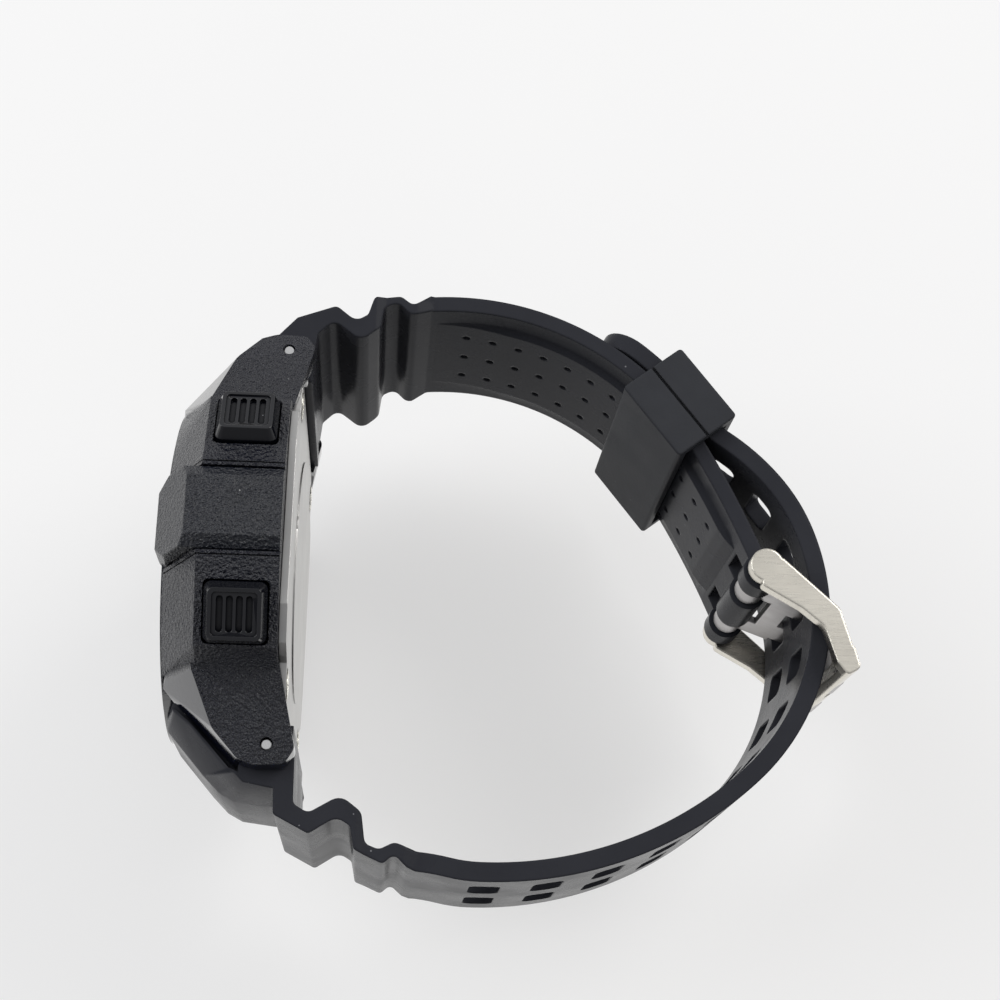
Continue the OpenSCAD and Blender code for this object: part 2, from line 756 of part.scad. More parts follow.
// Cap with bevelled edges, a raised rim and grooves across its top
module pusher_cap(hour) {
    color("#151619") placed() pusher_place(pusher_turn(hour)) difference() {
        union() {
            along_z(cap_base_r, side_r + 0.3) polygon(block(cap_w / 2, cap_l / 2, 0.7));
            hull() {
                along_z(side_r + 0.2, side_r + 0.3) polygon(block(cap_w / 2, cap_l / 2, 0.7));
                along_z(cap_top_r - 0.1, cap_top_r)
                    polygon(block(cap_w / 2 - cap_bevel, cap_l / 2 - cap_bevel, 0.5));
            }
        }
        along_z(cap_top_r - 0.15, cap_top_r + 1)
            polygon(block(cap_w / 2 - cap_bevel - cap_rim, cap_l / 2 - cap_bevel - cap_rim, 0.4));
        for (i = [0 : cap_grooves - 1])
            translate([(i - (cap_grooves - 1) / 2) * groove_pitch, 0, 0])
                along_z(cap_top_r - 0.45, cap_top_r + 1)
                    polygon(block(groove_w / 2, cap_l / 2 - cap_bevel - 2 * cap_rim, 0.28));
        rod(stem_r, cap_base_r - 1, cap_base_r + 1.2);
    }
}

module pusher_stem(hour) {
    color("#cfcfcf") placed() pusher_place(pusher_turn(hour)) difference() {
        rod(stem_r, stem_end_r, cap_base_r + 1.2);
        difference() {
            rod(2, clip_r - 0.42, clip_r + 0.02);
            rod(stem_r - 0.25, clip_r - 1, clip_r + 1);
        }
    }
}

// Snap clip in the groove at the inner end of a stem, open at one side
module pusher_clip(hour) {
    color("#bdbdbd") placed() pusher_place(pusher_turn(hour)) difference() {
        rod(1.5, clip_r - 0.4, clip_r);
        rod(stem_r - 0.25, clip_r - 1, clip_r + 1);
        translate([-0.35, 0, clip_r - 1]) cube([0.7, 3, 2]);
    }
}

module pusher_spring(hour) {
    color("#d8d8d8") placed() pusher_place(pusher_turn(hour)) translate([0, 0, spring_seat_r])
        coil(1.35, 0.2, cap_base_r - spring_seat_r - touch, 5, 8, 5);
}

// Spring bars

module bar_tube(y) {
    color("#c4c4c2") placed() {
        difference() {
            rod(bar_r, -lug_z + 0.1, lug_z - 0.1, 0, y);
            rod(bar_r - tube_wall, tube_bore_z, lug_z + 1, 0, y);
        }
        rod(tip_r, -tip_end_z, -lug_z + 0.2, 0, y);
    }
}

module bar_tip(y) {
    color("#d9d9d7") placed() {
        rod(tip_r, tip_root_z, tip_end_z, 0, y);
        rod(bar_r - tube_wall - 0.03, tip_root_z, tip_root_z + 0.6, 0, y);
    }
}

module bar_coil(y) {
    color("#bfbfbf") placed() translate([0, y, tube_bore_z])
        coil(0.38, 0.12, tip_root_z - tube_bore_z - touch, 7, 7, 5);
}

// Straps

// Plan of a strap across the wrist: full width at the lugs, narrower past each rib
module strap_plan() {
    rotate([90, 0, 0]) linear_extrude(200, center = true) polygon(concat(
        strap_plan_edge(1),
        reversed(strap_plan_edge(-1))
    ));
}
function strap_plan_edge(s) = [
    for (p = [[-20, root_w], [8.4, root_w], [9.4, 23.2], [12.6, 23.2], [14.4, strap_w], [80, strap_w]])
        [p[0], s * p[1] / 2]
];

// Slot for a prong, drawn along the path at a run and centred in a row
module strap_slot(s, z) {
    st = station(lower_path, lower_run, s);
    translate([st[0], st[1], z]) rotate([0, 0, st[2]]) rotate([90, 0, 0])
        linear_extrude(4, center = true) polygon(block(slot_l / 2, slot_w / 2, slot_round));
}

module strap_upper() {
    outer = side(upper_path, upper_t / 2);
    inner = side(upper_path, -upper_t / 2);
    color("#26272a") placed() difference() {
        intersection() {
            union() {
                along_z(-root_w / 2, root_w / 2) polygon(concat(
                    [[-5.2, end_y + rub], [-5, end_y + rub + 0.3]],
                    rounded(concat(shifted(upper_outer, 0, pin_y), [[outer[0][0], outer[0][1], 0]]), false),
                    outer,
                    reversed(inner),
                    rounded(concat([[inner[0][0], inner[0][1], 0]], shifted(upper_inner, 0, pin_y)), false),
                    [[2.3, end_y + rub]]
                ));
                rod(boss_r, -root_w / 2, root_w / 2, buckle_pin[0], buckle_pin[1]);
                panel();
            }
            strap_plan();
        }
        rod(bar_r + fit, -20, 20, 0, pin_y);
        rod(bar_r - 0.1 + fit * 1.5, -20, 20, buckle_pin[0], buckle_pin[1]);
        for (s = [-1, 1]) prong_slot(s * curl_z);
        pits();
    }
}

// Opening in the end of the buckle strap for one prong, cut in the frame of the buckle pin
module prong_slot(z) {
    translate([buckle_pin[0], buckle_pin[1], z]) rotate([0, 0, buckle_pin[2]])
        along_z(-curl_w / 2 - slot_gap, curl_w / 2 + slot_gap)
            translate([-prong_slot_l, -3]) square([prong_slot_l + 3, 6]);
}

// Panel with bevelled edges inside the buckle strap, which rises slowly out of it and falls at its end
module panel() {
    loft([
        for (i = [0 : len(upper_path) - 1])
            let (run = upper_run[i], out = panel_out(run), s = upper_path[i])
                if (run > panel_from && run < panel_to)
                    [for (q = [[panel_z + panel_bevel, 0.3], [panel_z, -out], [-panel_z, -out], [-panel_z - panel_bevel, 0.3]])
                        [s[0] - (q[1] - upper_t / 2) * sin(s[2]), s[1] + (q[1] - upper_t / 2) * cos(s[2]), q[0]]]
    ]);
}
function panel_out(run) = panel_t * max(0.02, min(1, (run - panel_from) / panel_rise, (panel_to - run) / 2));

// Three rows of small pits along the panel
module pits() {
    for (i = [0 : pit_rows - 1]) {
        run = pit_first + i * pit_pitch;
        st = station(upper_path, upper_run, run);
        for (z = [-pit_z, 0, pit_z])
            translate([st[0], st[1], z]) rotate([0, 0, st[2]]) rotate([90, 0, 0])
                translate([0, 0, upper_t / 2 + panel_out(run) - pit_deep]) cylinder(r = pit_r, h = 1, $fn = 16);
    }
}

// Outline of the ribs and the long arcs of the hole strap
function lower_outline() =
    let (
        outer = side(lower_path, -lower_t / 2),
        inner = side(lower_path, lower_t / 2),
        n = len(outer) - 1
    )
    concat(
        rounded(concat(shifted(lower_outer, 0, -pin_y), [[outer[0][0], outer[0][1], 0]]), false),
        [for (i = [1 : n]) outer[i]],
        reversed(inner),
        rounded(concat([[inner[0][0], inner[0][1], 0]], shifted(lower_inner, 0, -pin_y)), false)
    );

module strap_lower() {
    color("#26272a") placed() difference() {
        union() {
            intersection() {
                along_z(-root_w / 2, root_w / 2) polygon(lower_outline());
                strap_plan();
            }
            hood();
        }
        rod(bar_r + fit, -20, 20, 0, -pin_y);
        for (i = [0 : slot_count - 1])
            for (s = [-1, 1]) strap_slot(slot_first + i * slot_pitch, s * slot_z);
        for (s = [-1, 1]) tail_cut(s);
    }
}

// Centre piece that fills the space between the lower lugs and laps over the case front
module hood() {
    difference() {
        hull() {
            along_z(-hood_side_z, hood_side_z) polygon(shifted(hood_side, 0, -pin_y));
            along_z(-hood_ridge_z, hood_ridge_z) polygon(shifted(hood_ridge, 0, -pin_y));
        }
        along_z(-20, 20) polygon([
            [-9.7, -step_y + 2], [-9.7, -step_y + 1.3], [-6.75, -end_y - rub], [5, -end_y - rub],
            [5, -step_y + 2]
        ]);
        disc(front_r + rub, front_x - 2, front_x + 1 + rub);
        for (t = [0, 1]) mirror([0, 0, t]) mirror([0, 1, 0]) along_z(facet_z - rub, lug_z + 1)
            polygon(concat(
                [[-12, 0]],
                shifted(facet_edge, -rub, pin_y + rub),
                [[room_edge[1][0] + 0.1, pin_y + 2.2], [room_edge[1][0] + 0.1, pin_y + 1], [-5.5, pin_y - 3], [-5.5, 0]]
            ));
    }
}

// Rounds one corner of the free end of the hole strap
module tail_cut(s) {
    st = lower_path[len(lower_path) - 1];
    c = 4;
    translate([st[0], st[1], 0]) rotate([0, 0, st[2]]) rotate([90, 0, 0]) linear_extrude(8, center = true)
        polygon(concat(
            [[2, s * strap_w / 2 + s], [2, s * (strap_w / 2 - c)]],
            [
                for (i = [0 : 10])
                    let (a = 90 * i / 10)
                    [-c + c * cos(a), s * (strap_w / 2 - c + c * sin(a))]
            ],
            [[-c, s * strap_w / 2 + s]]
        ));
}

// Keeper

module keeper() {
    color("#2b2c2f") placed() translate([keeper_c[0], keeper_c[1], 0]) rotate([0, 0, keeper_a]) difference() {
        along_z(-keeper_z - keeper_t, keeper_z + keeper_t) polygon(rounded([
            [keeper_in - keeper_t, -keeper_l / 2, 0.4], [keeper_out + keeper_t, -keeper_l / 2, 0.4],
            [keeper_out + keeper_t, keeper_l / 2, 0.4], [keeper_in - keeper_t, keeper_l / 2, 0.4]
        ]));
        translate([keeper_in, -keeper_l, -keeper_z]) cube([keeper_out - keeper_in, 2 * keeper_l, 2 * keeper_z]);
        for (s = [-1, 1])
            translate([(keeper_in + keeper_out - line_w) / 2, -keeper_l, s * (keeper_z + keeper_t) - line_w])
                cube([line_w, 2 * keeper_l, 2 * line_w]);
    }
}

// Buckle

module at_buckle() {
    translate([buckle_pin[0], buckle_pin[1], 0]) children();
}

module buckle_frame() {
    color("#c8c4ba") placed() at_buckle() difference() {
        union() {
            for (s = [-1, 1]) mirror([0, 0, s < 0 ? 1 : 0]) {
                along_z(arm_z, arm_outer_z) polygon(rounded(arm_pts));
                rod(1.65, arm_z, arm_outer_z);
            }
            along_z(-arm_outer_z, arm_outer_z) polygon(rounded(bar_pts));
        }
        rod(tip_r + fit, -arm_z - 0.8, arm_z + 0.8);
        for (s = [-1, 1]) translate([0, 0, s * slot_z]) along_z(-prong_w / 2 - 0.2, prong_w / 2 + 0.2)
            polygon([[7.3, -5], [7.3, -8], [7.65, -10.2], [7.9, -12], [12, -12], [12, -5]]);
    }
}

module buckle_bar() {
    color("#bdbab2") placed() at_buckle() {
        rod(bar_r - 0.1, -arm_z + 0.1, arm_z - 0.1);
        rod(tip_r, -arm_z - 0.75, arm_z + 0.75);
    }
}

// Points of a prong from its knuckle through the strap slot to its tip on the far bar
function prong_outline() =
    let (
        a = [0.6, -0.35],
        h1 = atan2(prong_knee[1] - a[1], prong_knee[0] - a[0]),
        h2 = atan2(prong_tip[1] - prong_knee[1], prong_tip[0] - prong_knee[0]),
        hm = (h1 + h2) / 2,
        path = [[a[0], a[1], h1], [prong_knee[0], prong_knee[1], hm], [prong_tip[0], prong_tip[1], h2]]
    )
    concat(side(path, prong_t / 2), reversed(side(path, -prong_t / 2)));

// Part of the prong sheet between two distances from the buckle bar and two planes across Z
module prong_part(x0, x1, z0, z1) {
    intersection() {
        along_z(z0, z1) polygon(prong_outline());
        translate([x0, -15, z0]) cube([x1 - x0, 20, z1 - z0]);
    }
}

module buckle_prongs() {
    color("#b5b1a8") placed() at_buckle() difference() {
        union() {
            for (s = [-1, 1]) {
                translate([0, 0, s * curl_z]) rod(knuckle_r, -curl_w / 2, curl_w / 2);
                prong_part(-1, plate_to, s * curl_z - curl_w / 2, s * curl_z + curl_w / 2);
                prong_part(plate_from, 12, s * slot_z - prong_w / 2, s * slot_z + prong_w / 2);
            }
            prong_part(plate_from, plate_to, -curl_z - curl_w / 2, curl_z + curl_w / 2);
        }
        rod(prong_bore_r, -10, 10);
    }
}

case_body();
bezel();
crystal();
crystal_gasket();
dial_mask();
lcd_panel();
backlight_panel();
lcd_connectors();
module_frame();
circuit_board();
ic_chip();
quartz_crystal();
battery();
battery_clip();
module_screws();
contact_springs();
buzzer_spring();
buzzer_disc();
back_gasket();
case_back();
case_back_screws();
pusher_gaskets();
pusher_cap(2);  // pusher_2_cap
pusher_stem(2);  // pusher_2_stem
pusher_clip(2);  // pusher_2_clip
pusher_spring(2);  // pusher_2_spring
pusher_cap(4);  // pusher_4_cap
pusher_stem(4);  // pusher_4_stem
pusher_clip(4);  // pusher_4_clip
pusher_spring(4);  // pusher_4_spring
pusher_cap(8);  // pusher_8_cap
pusher_stem(8);  // pusher_8_stem
pusher_clip(8);  // pusher_8_clip
pusher_spring(8);  // pusher_8_spring
pusher_cap(10);  // pusher_10_cap
pusher_stem(10);  // pusher_10_stem
pusher_clip(10);  // pusher_10_clip
pusher_spring(10);  // pusher_10_spring
bar_tube(pin_y);  // upper_bar_tube
bar_tip(pin_y);  // upper_bar_tip
bar_coil(pin_y);  // upper_bar_coil
bar_tube(-pin_y);  // lower_bar_tube
bar_tip(-pin_y);  // lower_bar_tip
bar_coil(-pin_y);  // lower_bar_coil
strap_upper();
strap_lower();
keeper();
buckle_frame();
buckle_bar();
buckle_prongs();
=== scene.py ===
# %% [markdown]
# # A digital sports watch, buckled into a loop
# This lesson dresses a CAD model of a resin watch. The CAD model already has every piece at its
# real size, so Blender rounds the edges, gives each piece its material, adds what a CAD model
# leaves out, and sets up the light and the camera. Lengths are in metres, as the frame's are.

# %% Load the frame
import json

import bmesh
import bpy
import numpy as np
from mathutils import Matrix, Vector


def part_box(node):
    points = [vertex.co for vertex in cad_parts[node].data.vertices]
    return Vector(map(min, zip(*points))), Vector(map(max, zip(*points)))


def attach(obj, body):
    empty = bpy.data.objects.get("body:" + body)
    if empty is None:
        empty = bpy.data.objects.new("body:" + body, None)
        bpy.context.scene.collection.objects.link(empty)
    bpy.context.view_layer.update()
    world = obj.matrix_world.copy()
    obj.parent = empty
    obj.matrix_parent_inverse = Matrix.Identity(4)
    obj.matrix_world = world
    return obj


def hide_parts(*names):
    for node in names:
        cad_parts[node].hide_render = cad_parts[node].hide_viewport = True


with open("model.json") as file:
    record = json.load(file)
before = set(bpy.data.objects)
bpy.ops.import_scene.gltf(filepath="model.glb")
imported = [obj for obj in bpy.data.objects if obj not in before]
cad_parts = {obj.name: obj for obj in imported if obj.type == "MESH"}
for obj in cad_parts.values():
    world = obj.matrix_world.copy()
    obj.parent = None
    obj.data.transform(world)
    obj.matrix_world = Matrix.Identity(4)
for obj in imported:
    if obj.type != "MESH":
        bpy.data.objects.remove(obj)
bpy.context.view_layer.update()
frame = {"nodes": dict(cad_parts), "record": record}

MM = 0.001

# %% [markdown]
# ## Where things are
# The watch lies on its nine o'clock side. X runs from the display to the wrist, Y to twelve
# o'clock and Z up to three o'clock. The frame's origin is under the middle of the whole watch, so
# one helper turns a place counted from the middle of the watch case into a place in the frame.
# The middle is read off two round pieces: the glass is centred on the case, and the tips of the
# upper spring bar lie on its axis, which is the line that X counts from.

# %% The middle of the watch case
def node_middle(name):
    """The middle of a node's box: its lowest and highest corner, added and halved."""
    low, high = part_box(name)
    return (np.array(low) + np.array(high)) / 2


case_middle = node_middle("crystal")
case_middle[0] = node_middle("upper_bar_tip")[0]


def at(x, y, z):
    """A place in the frame, in metres, from millimetres counted from the middle of the case."""
    return case_middle + np.array([x, y, z]) * MM


print("middle of the case in mm", np.round(case_middle / MM, 2))

# %% [markdown]
# ## A short way to write shader nodes
# Every finish below is a small network of nodes. Writing each one as `add` and `link` calls takes
# many lines, so one helper makes a node, sets its options and fills its inputs. An input may be a
# number, a colour, or another node's output, and then it becomes a link.

# %% Node helpers
def new_material(name):
    """An empty node material with its output node."""
    material = bpy.data.materials.new(name)
    material.use_nodes = True
    material.node_tree.nodes.clear()
    return material, material.node_tree


def put(tree, kind, inputs=None, **options):
    """Adds a node of a kind, sets its options, and fills its inputs with values or links."""
    node = tree.nodes.new("ShaderNode" + kind)
    for key, value in options.items():
        setattr(node, key, value)
    for key, value in (inputs or {}).items():
        if isinstance(value, bpy.types.NodeSocket):
            tree.links.new(value, node.inputs[key])
        else:
            node.inputs[key].default_value = value
    return node


def ramp(tree, fac, stops):
    """A colour ramp from (position, colour) pairs, where a colour may be one grey number."""
    node = put(tree, "ValToRGB", {"Fac": fac})
    elements = node.color_ramp.elements
    while len(elements) < len(stops):
        elements.new(1.0)
    for element, (position, colour) in zip(elements, stops):
        element.position = position
        element.color = (*(colour if isinstance(colour, tuple) else (colour,) * 3), 1)
    return node.outputs["Color"]


def maths(tree, operation, first, second=0.0):
    """One arithmetic node's result."""
    return put(tree, "Math", {0: first, 1: second}, operation=operation).outputs[0]


def spread(tree, value, low, high, start=0.0, end=1.0):
    """Stretches a value from the range start to end onto the range low to high."""
    return put(tree, "MapRange", {"Value": value, "From Min": start, "From Max": end,
                                  "To Min": low, "To Max": high}).outputs[0]


def clouds(tree, where, scale, detail, roughness=0.5):
    """Noise with so many cells in a metre."""
    return put(tree, "TexNoise", {"Vector": where, "Scale": scale, "Detail": detail,
                                  "Roughness": roughness}).outputs["Fac"]


def cloudy_tint(tree, clouds_value, colour, darkest):
    """The colour, down to its darkest share where the clouds are thin."""
    shade = tuple(c * darkest for c in colour)
    return ramp(tree, clouds_value, [(0.3, shade), (0.7, colour)])


def surface(tree, shader):
    """Connects a shader to a new material output."""
    put(tree, "OutputMaterial", {"Surface": shader.outputs[0]})


def place(tree, scale=(1, 1, 1), turn=(0, 0, 0)):
    """Object coordinates, stretched and turned, so a pattern keeps its size in metres."""
    coords = put(tree, "TexCoord").outputs["Object"]
    mapping = put(tree, "Mapping", {"Vector": coords, "Scale": scale, "Rotation": turn})
    return mapping.outputs["Vector"]


def soft_edges(tree, radius):
    """The surface's normal, turned over every edge as if it had a fillet of a radius in mm."""
    return put(tree, "Bevel", {"Radius": radius * MM}, samples=6).outputs["Normal"]


print("helpers ready")

# %% [markdown]
# ## Moulded resin with a leathery grain
# The case and the bezel are moulded in a tool whose faces were etched, so the resin has a grain
# of little pebbles about a third of a millimetre across, with finer dents on them. A smooth
# Voronoi pattern gives the pebbles and a noise the dents, and both drive one bump. The facets at
# the lugs that face the front are polished on the real case, so the grain fades out there: past a
# given distance from the middle, and where the surface doesn't face three o'clock. A few specks
# of dust sit in the grain, as they always do.

# %% Resin materials
POLISHED_FROM = 13.2 * MM
PEBBLES_PER_METRE, DENTS_PER_METRE, DUST_PER_METRE = 3100.0, 5600.0, 620.0
GRAIN_DEPTH = 0.3 * MM
DUST_SIZE, DUST_SHARE = 0.055, 0.16


def polished_part(tree, where, smooth_from):
    """1 where |Y| is past smooth_from and the normal's Z is under 0.6, and 0 on all the rest."""
    position = put(tree, "SeparateXYZ", {"Vector": where})
    centred = maths(tree, "SUBTRACT", position.outputs["Y"], float(case_middle[1]))
    past = spread(tree, maths(tree, "ABSOLUTE", centred), 0.0, 1.0,
                  smooth_from - 0.3 * MM, smooth_from + 0.3 * MM)
    facing = put(tree, "SeparateXYZ", {"Vector": put(tree, "TexCoord").outputs["Normal"]})
    turned = spread(tree, facing.outputs["Z"], 1.0, 0.0, 0.5, 0.7)
    return maths(tree, "MULTIPLY", past, turned)


def dusted(tree, where, colour, dust):
    """The colour, with a few specks of dust: the middles of one Voronoi cell in six or so."""
    cells = put(tree, "TexVoronoi", {"Vector": where, "Scale": DUST_PER_METRE})
    near = maths(tree, "LESS_THAN", cells.outputs["Distance"], DUST_SIZE)
    chance = put(tree, "SeparateColor", {"Color": cells.outputs["Color"]})
    rare = maths(tree, "LESS_THAN", chance.outputs["Red"], DUST_SHARE)
    speck = maths(tree, "MULTIPLY", near, rare)
    mix = put(tree, "MixRGB", {"Fac": speck, "Color1": colour, "Color2": (*dust, 1)})
    return mix.outputs["Color"]


def grained_resin(name, colour, grain=1.0, smooth_from=None, fillet=0.14):
    """Black resin. The bump is pebbles plus finer noise. Where polished_part is 1, the bump fades,
    the roughness drops, the reflection rises and a coat is added."""
    material, tree = new_material(name)
    where = place(tree)
    pebbles = put(tree, "TexVoronoi", {"Vector": where, "Scale": PEBBLES_PER_METRE,
                                       "Smoothness": 0.7}, feature="SMOOTH_F1")
    dents = clouds(tree, where, DENTS_PER_METRE, 2.0, 0.6)
    height = maths(tree, "ADD", pebbles.outputs["Distance"], dents)
    strength, level, coat = grain, 0.5, 0.0
    gloss = ramp(tree, dents, [(0.35, 0.34), (0.65, 0.22)])
    if smooth_from is not None:
        polished = polished_part(tree, where, smooth_from)
        strength = spread(tree, polished, grain, 0.05)
        gloss = put(tree, "MixRGB", {"Fac": polished, "Color1": gloss,
                                     "Color2": (0.14, 0.14, 0.14, 1)}).outputs["Color"]
        level = spread(tree, polished, 0.5, 1.0)
        coat = maths(tree, "MULTIPLY", polished, 0.7)
    bump = put(tree, "Bump", {"Height": height, "Strength": strength, "Distance": GRAIN_DEPTH,
                              "Normal": soft_edges(tree, fillet)})
    tint = cloudy_tint(tree, clouds(tree, where, 160.0, 3.0), colour, 0.8)
    surface(tree, put(tree, "BsdfPrincipled", {
        "Base Color": dusted(tree, where, tint, (0.3, 0.3, 0.3)), "Roughness": gloss,
        "Normal": bump.outputs[0], "Specular IOR Level": level,
        "Coat Weight": coat, "Coat Roughness": 0.12}))
    return material


case_resin = grained_resin("case_resin", (0.0012, 0.0022, 0.0095), grain=0.9,
                           smooth_from=POLISHED_FROM)
bezel_resin = grained_resin("bezel_resin", (0.004, 0.0055, 0.0115), grain=0.7)
print("resin", case_resin.name, bezel_resin.name)

# %% [markdown]
# ## Smooth resin and urethane
# The buttons and the strap come out of a mould with a satin finish. What keeps them from looking
# like flat paint is a faint unevenness: slow waves in the tint, a very fine grain, and a
# roughness that varies a little where hands have polished it. In the grooves of a button an
# occlusion node takes the gloss away, which paints shade into them.

# %% Strap and button materials
def smooth_resin(name, colour, low, high, grain_size=3800.0, depth=0.012, level=0.3,
                 fillet=0.2, painted_groove_shade=False):
    """Satin resin: slow noise drives tint and roughness (from low to high), fine noise drives a
    bump of a depth in mm, and edges look rounded by a fillet in mm."""
    material, tree = new_material(name)
    where = place(tree)
    slow = clouds(tree, where, 140.0, 4.0, 0.6)
    fine = clouds(tree, where, grain_size, 3.0)
    bump = put(tree, "Bump", {"Height": fine, "Strength": 0.6, "Distance": depth * MM,
                              "Normal": soft_edges(tree, fillet)})
    tint = cloudy_tint(tree, slow, colour, 0.84)
    gloss = ramp(tree, slow, [(0.3, low), (0.7, high)])
    # Painted shade: an occlusion node lowers the reflection in the grooves, so they render darker.
    if painted_groove_shade:
        open_sky = put(tree, "AmbientOcclusion", {"Distance": 0.6 * MM}, samples=8).outputs["AO"]
        level = spread(tree, open_sky, 0.05, level, 0.5, 0.95)
    surface(tree, put(tree, "BsdfPrincipled", {
        "Base Color": dusted(tree, where, tint, (0.16, 0.16, 0.17)), "Roughness": gloss,
        "Normal": bump.outputs[0], "Specular IOR Level": level}))
    return material


strap_urethane = smooth_resin("strap_urethane", (0.0315, 0.0325, 0.0385), low=0.22, high=0.32,
                              depth=0.02, level=0.035, fillet=0.35)
keeper_urethane = smooth_resin("keeper_urethane", (0.04, 0.0415, 0.0465), low=0.36, high=0.48,
                               depth=0.03, level=0.04, fillet=0.3)
# The button's grooves get painted shade from an occlusion node.
button_resin = smooth_resin("button_resin", (0.0018, 0.0022, 0.0045), low=0.13, high=0.2,
                            grain_size=1500.0, depth=0.01, level=0.7, fillet=0.1,
                            painted_groove_shade=True)
gasket_rubber = smooth_resin("gasket_rubber", (0.02, 0.02, 0.02), low=0.6, high=0.75)
print("satin resins made")

# %% [markdown]
# ## Brushed and turned metal
# Brushing leaves long parallel scratches. Noise stretched ten to thirty times along one direction
# gives them, both as a bump and as a change of roughness. The direction differs between pieces,
# so it is a setting: the back, for one, is brushed from six to twelve o'clock.

# %% Metal materials
SCRATCHES_PER_METRE = 90.0


def brushed_metal(name, colour, along, low, high, turn=(0, 0, 0), depth=0.01, fillet=0.1):
    """Metal whose scratches run along the axis with the smallest scale."""
    material, tree = new_material(name)
    stretch = tuple(SCRATCHES_PER_METRE * a for a in along)
    streak = clouds(tree, place(tree, stretch, turn), 1.0, 5.0, 0.7)
    stain = clouds(tree, place(tree), 220.0, 3.0)
    bump = put(tree, "Bump", {"Height": streak, "Strength": 0.5, "Distance": depth * MM,
                              "Normal": soft_edges(tree, fillet)})
    gloss = ramp(tree, streak, [(0.3, low), (0.7, high)])
    tint = cloudy_tint(tree, stain, colour, 0.88)
    surface(tree, put(tree, "BsdfPrincipled", {
        "Base Color": tint, "Metallic": 1.0, "Roughness": gloss, "Normal": bump.outputs[0]}))
    return material


buckle_steel = brushed_metal("buckle_steel", (0.735, 0.7, 0.62), (4, 90, 4), low=0.24, high=0.34,
                             turn=(0, 0, 0.75), depth=0.004, fillet=0.3)
prong_steel = brushed_metal("prong_steel", (0.52, 0.505, 0.5), (1, 22, 22), low=0.35, high=0.5)
back_steel = brushed_metal("back_steel", (0.56, 0.555, 0.54), (25, 1, 25), low=0.34, high=0.46,
                           depth=0.006)
bar_steel = brushed_metal("bar_steel", (0.75, 0.75, 0.74), (20, 20, 1), low=0.2, high=0.3)
screw_steel = brushed_metal("screw_steel", (0.84, 0.82, 0.74), (1, 20, 1), low=0.2, high=0.32)
spring_wire = brushed_metal("spring_wire", (0.6, 0.6, 0.58), (12, 12, 1), low=0.22, high=0.35)
contact_brass = brushed_metal("contact_brass", (0.8, 0.6, 0.28), (1, 1, 18), low=0.22, high=0.35)
buzzer_brass = brushed_metal("buzzer_brass", (0.78, 0.58, 0.26), (1, 1, 14), low=0.25, high=0.4)
cell_steel = brushed_metal("cell_steel", (0.78, 0.78, 0.76), (1, 14, 14), low=0.16, high=0.26)
print("metals made")

# %% [markdown]
# ## Glass, display and the module's plastics
# The glass is a thin clear disc, so a transparent base under a clear gloss is enough and keeps
# the display readable from the side. The display itself is a grey green panel with a slight cloud
# in it.

# %% Display and module materials
def clear_glass(name):
    """Mostly transparent, with a mirror coat that grows towards grazing angles."""
    material, tree = new_material(name)
    gloss = ramp(tree, clouds(tree, place(tree), 180.0, 3.0), [(0.35, 0.02), (0.7, 0.05)])
    surface(tree, put(tree, "BsdfPrincipled", {
        "Base Color": (0.93, 0.96, 0.97, 1), "Roughness": gloss, "Alpha": 0.16, "IOR": 1.5,
        "Specular IOR Level": 0.7}))
    return material


def clouded(name, colour, roughness, cloud=400.0, darkest=0.85):
    """A plain moulded or printed surface with a soft cloud in its colour and its gloss."""
    material, tree = new_material(name)
    noise = clouds(tree, place(tree), cloud, 4.0)
    tint = cloudy_tint(tree, noise, colour, darkest)
    gloss = ramp(tree, noise, [(0.3, roughness), (0.7, roughness * 1.25)])
    bump = put(tree, "Bump", {"Height": noise, "Strength": 0.3, "Distance": 0.01 * MM})
    surface(tree, put(tree, "BsdfPrincipled", {
        "Base Color": tint, "Roughness": gloss, "Normal": bump.outputs[0]}))
    return material


mineral_glass = clear_glass("mineral_glass")
mask_film = clouded("mask_film", (0.012, 0.012, 0.014), 0.35, 900.0)
lcd_glass = clouded("lcd_glass", (0.34, 0.36, 0.3), 0.22, 300.0, 0.94)
light_film = clouded("light_film", (0.72, 0.76, 0.73), 0.4)
zebra_rubber = clouded("zebra_rubber", (0.5, 0.22, 0.28), 0.6, 2500.0, 0.5)
module_resin = clouded("module_resin", (0.76, 0.75, 0.71), 0.5)
board_green = clouded("board_green", (0.03, 0.17, 0.07), 0.35, 700.0, 0.7)
chip_resin = clouded("chip_resin", (0.012, 0.012, 0.012), 0.3)
print("module materials made")

# %% [markdown]
# ## Dressing the CAD nodes
# The table gives each node its finish by the start of its name. The pieces inside the case keep
# the mesh they have, since their shape is already right.

# %% A material for every node
FINISHES = {
    "crystal_gasket": gasket_rubber, "crystal": mineral_glass, "dial_mask": mask_film,
    "lcd_panel": lcd_glass, "backlight_panel": light_film, "lcd_connectors": zebra_rubber,
    "module_frame": module_resin, "circuit_board": board_green, "ic_chip": chip_resin,
    "quartz_crystal": cell_steel, "battery_clip": spring_wire, "battery": cell_steel,
    "module_screws": screw_steel, "contact_springs": contact_brass, "buzzer_spring": spring_wire,
    "buzzer_disc": buzzer_brass, "back_gasket": gasket_rubber, "case_back_screws": screw_steel,
    "case_back": back_steel, "pusher_gaskets": gasket_rubber, "upper_bar": bar_steel,
    "lower_bar": bar_steel, "buckle_bar": bar_steel, "buckle_prongs": prong_steel,
    "buckle_frame": buckle_steel, "case_body": case_resin, "bezel": bezel_resin,
    "strap": strap_urethane, "keeper": keeper_urethane,
}


